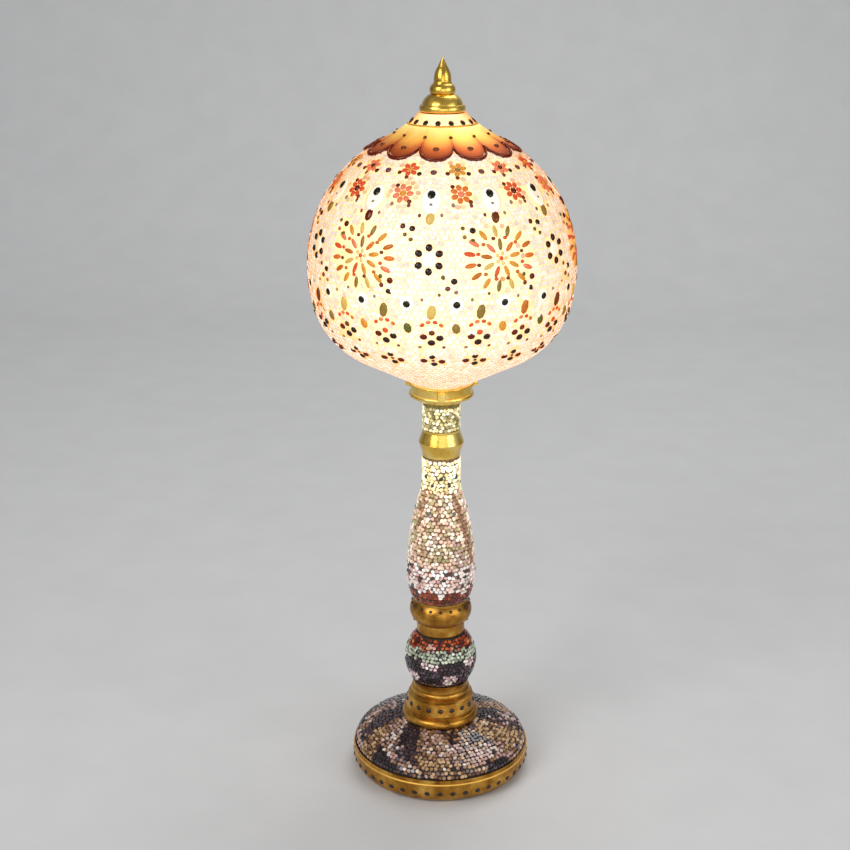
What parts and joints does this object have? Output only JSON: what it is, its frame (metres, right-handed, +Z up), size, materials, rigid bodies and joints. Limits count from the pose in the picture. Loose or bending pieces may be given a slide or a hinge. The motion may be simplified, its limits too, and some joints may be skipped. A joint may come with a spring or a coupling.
{
  "type": "mosaic glass table lamp",
  "caption": "Table lamp with a beaded glass globe on a pillar of mosaic glass and turned brass pieces, over a weighted domed foot; the globe lifts off when its thumbscrews are backed out.",
  "frame": {"origin": "on the lamp axis in the plane that it stands on", "axes": "+Z up the lamp axis; the front faces -Y and the cord inlet faces +Y"},
  "size_m": [0.2, 0.2, 0.5706],
  "materials": {
    "green_felt": "woollen felt",
    "zinc_steel": "zinc plated",
    "cast_iron": "painted casting",
    "antique_brass": "aged, half gloss",
    "polished_brass": "polished",
    "tinned_brass": "tinned",
    "nickel_cap": "bright",
    "black_rubber": "matt",
    "white_nylon": "satin",
    "black_phenolic": "moulded gloss",
    "white_porcelain": "unglazed",
    "black_vitrite": "black glass",
    "yellow_phosphor": "phosphor coating, lit",
    "clear_bulb_glass": "clear",
    "globe_mosaic_glass": "opal glass under beads and chips, lit from inside",
    "neck_mosaic_glass": "glass chips in plaster",
    "vase_mosaic_glass": "glass chips in plaster",
    "ball_mosaic_glass": "glass chips in plaster",
    "dark_mosaic_glass": "dark glass chips in plaster"
  },
  "bodies": {
    "stand": {"felt_pad": "green_felt", "base_plate": "zinc_steel", "base_plate_screws": "zinc_steel", "base_weight": "cast_iron", "base_rim_band": "antique_brass", "cord_grommet": "black_rubber", "base_bowl": "dark_mosaic_glass", "base_collar": "antique_brass", "ball_washer": "black_rubber", "ball": "ball_mosaic_glass", "lower_ring": "antique_brass", "vase_washer": "black_rubber", "vase": "vase_mosaic_glass", "bicone_ring": "polished_brass", "neck_tube": "neck_mosaic_glass", "gallery": "polished_brass", "shade_gasket": "black_rubber", "lamp_pipe": "zinc_steel", "pipe_bottom_nut": "zinc_steel", "pipe_bottom_washer": "zinc_steel", "pipe_top_nut": "polished_brass", "earth_tag": "tinned_brass", "lampholder_cap": "black_phenolic", "lampholder_sleeve": "black_phenolic", "lampholder_core": "white_porcelain", "lampholder_shell": "tinned_brass", "lampholder_terminals": "tinned_brass", "lampholder_contact": "tinned_brass"},
    "shade": {"globe": "globe_mosaic_glass", "finial_gasket": "black_rubber", "finial_flange": "polished_brass", "finial_spire": "polished_brass", "finial_stud": "zinc_steel", "finial_soft_washer": "black_rubber", "finial_washer": "zinc_steel", "finial_nut": "zinc_steel"},
    "bulb": {"bulb_contact": "tinned_brass", "bulb_insulator": "black_vitrite", "bulb_cap": "nickel_cap", "bulb_glass": "clear_bulb_glass", "bulb_stem": "clear_bulb_glass", "bulb_filaments": "yellow_phosphor"},
    "screw_tip_1": {"thumbscrew_tip_1": "white_nylon"},
    "screw_1": {"thumbscrew_1": "polished_brass"},
    "screw_tip_2": {"thumbscrew_tip_2": "white_nylon"},
    "screw_2": {"thumbscrew_2": "polished_brass"},
    "screw_tip_3": {"thumbscrew_tip_3": "white_nylon"},
    "screw_3": {"thumbscrew_3": "polished_brass"}
  },
  "joints": [
    {"name": "shade_lift", "type": "slide", "parent": "stand", "child": "shade", "axis": [0, 0, 1], "range_m": [0, 0.13]},
    {"name": "bulb_lift", "type": "slide", "parent": "stand", "child": "bulb", "axis": [0, 0, 1], "range_m": [0, 0.04]},
    {"name": "screw_travel_1", "type": "slide", "parent": "stand", "child": "screw_tip_1", "axis": [0, -1, 0], "range_m": [0, 0.0028]},
    {"name": "screw_turn_1", "type": "hinge", "parent": "screw_tip_1", "child": "screw_1", "pos_m": [0, 0, 0.32417], "axis": [0, -1, 0], "range_deg": [0, 1440]},
    {"name": "screw_travel_2", "type": "slide", "parent": "stand", "child": "screw_tip_2", "axis": [0.866, 0.5, 0], "range_m": [0, 0.0028]},
    {"name": "screw_turn_2", "type": "hinge", "parent": "screw_tip_2", "child": "screw_2", "pos_m": [0, 0, 0.32417], "axis": [0.866, 0.5, 0], "range_deg": [0, 1440]},
    {"name": "screw_travel_3", "type": "slide", "parent": "stand", "child": "screw_tip_3", "axis": [-0.866, 0.5, 0], "range_m": [0, 0.0028]},
    {"name": "screw_turn_3", "type": "hinge", "parent": "screw_tip_3", "child": "screw_3", "pos_m": [0, 0, 0.32417], "axis": [-0.866, 0.5, 0], "range_deg": [0, 1440]}
  ],
  "couplings": [
    {"joint": "screw_turn_1", "follows": "screw_travel_1", "rad_per_m": 8976},
    {"joint": "screw_turn_2", "follows": "screw_travel_2", "rad_per_m": 8976},
    {"joint": "screw_turn_3", "follows": "screw_travel_3", "rad_per_m": 8976}
  ]
}
